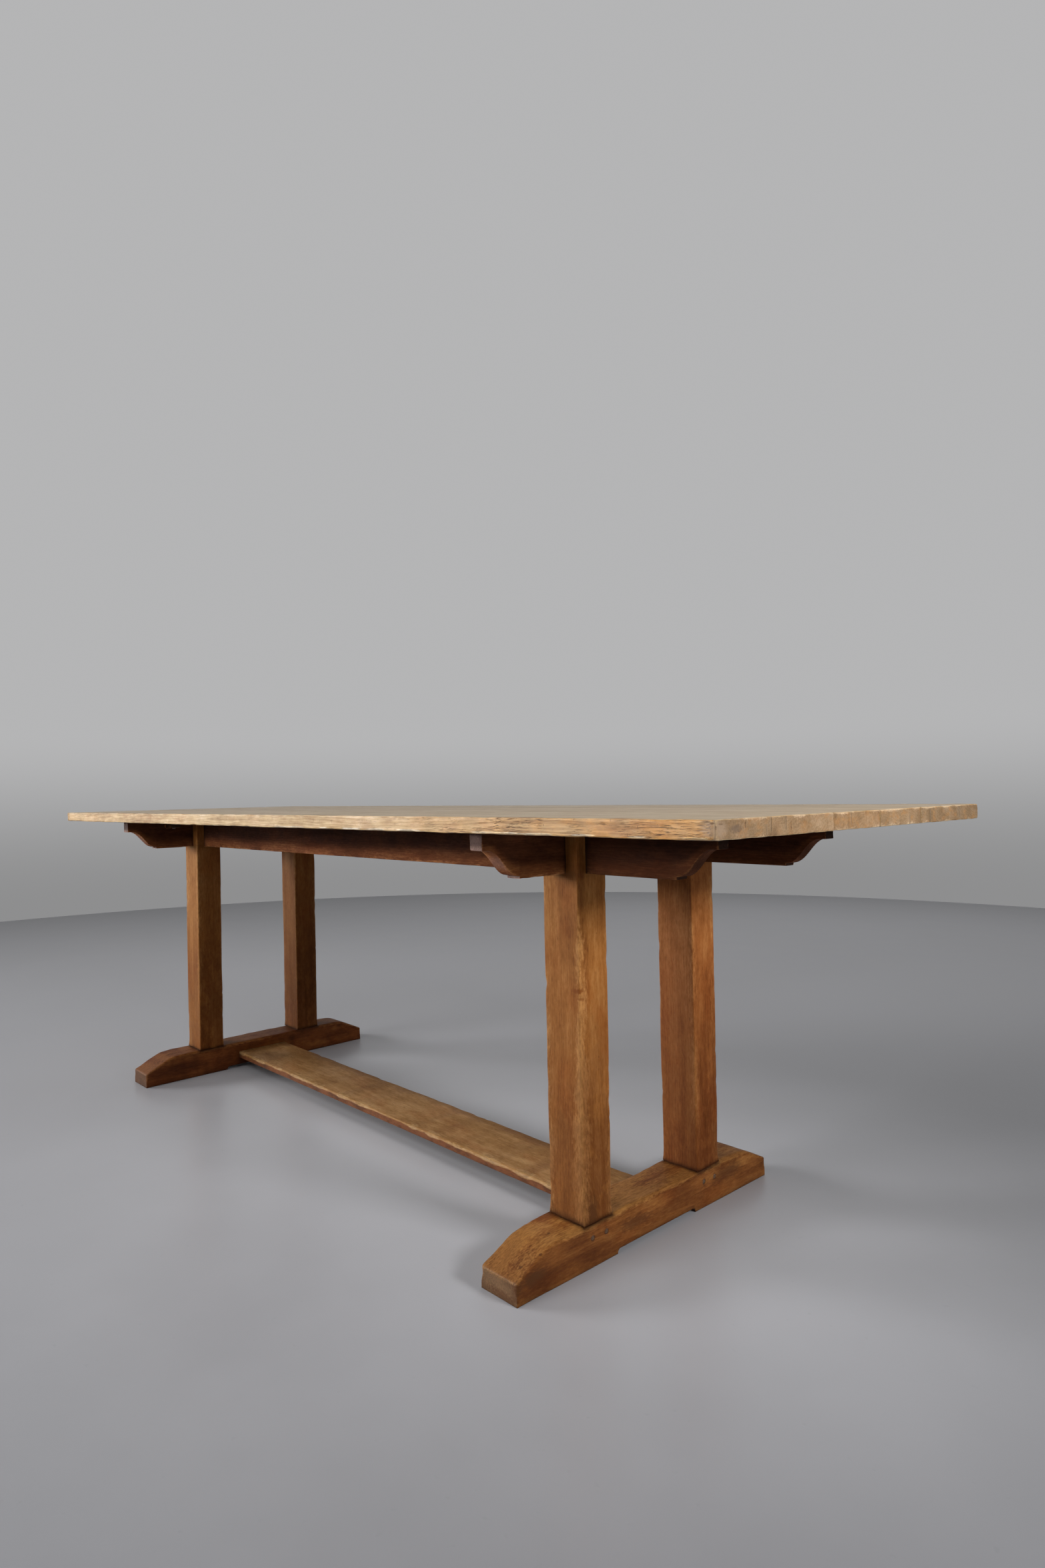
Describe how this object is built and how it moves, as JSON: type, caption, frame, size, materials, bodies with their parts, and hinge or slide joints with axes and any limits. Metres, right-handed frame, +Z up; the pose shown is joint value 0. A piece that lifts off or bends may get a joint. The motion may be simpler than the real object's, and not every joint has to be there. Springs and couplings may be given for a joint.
{
  "type": "trestle dining table",
  "caption": "Long boarded table top on two pegged trestles with crossed, ogee-ended rails and bearers at the post heads and a low flat stretcher between the sledge feet.",
  "frame": {"origin": "on the floor under the middle of the top", "axes": "+X along the table, +Y across it towards the back, +Z up"},
  "size_m": [2.44, 0.784, 0.76],
  "materials": {
    "top_wood": "waxed satin, worn",
    "post_wood": "oiled satin",
    "foot_wood": "oiled satin, worn",
    "rail_wood": "oiled satin",
    "stretcher_wood": "worn by shoes",
    "peg_wood": "end grain",
    "screw_steel": "zinc plated"
  },
  "bodies": {
    "root": {"top_board_front": "top_wood", "top_board_inner_front": "top_wood", "top_board_inner_back": "top_wood", "top_board_back": "top_wood", "post_left_front": "post_wood", "post_left_back": "post_wood", "post_right_front": "post_wood", "post_right_back": "post_wood", "foot_left": "foot_wood", "foot_right": "foot_wood", "rail_front": "rail_wood", "rail_back": "rail_wood", "bearer_left": "rail_wood", "bearer_right": "rail_wood", "top_buttons": "rail_wood", "stretcher": "stretcher_wood", "draw_pegs_left": "peg_wood", "draw_pegs_right": "peg_wood", "stretcher_pegs": "peg_wood", "cross_dowels": "peg_wood", "board_tongues": "peg_wood", "button_screws": "screw_steel"}
  },
  "joints": []
}
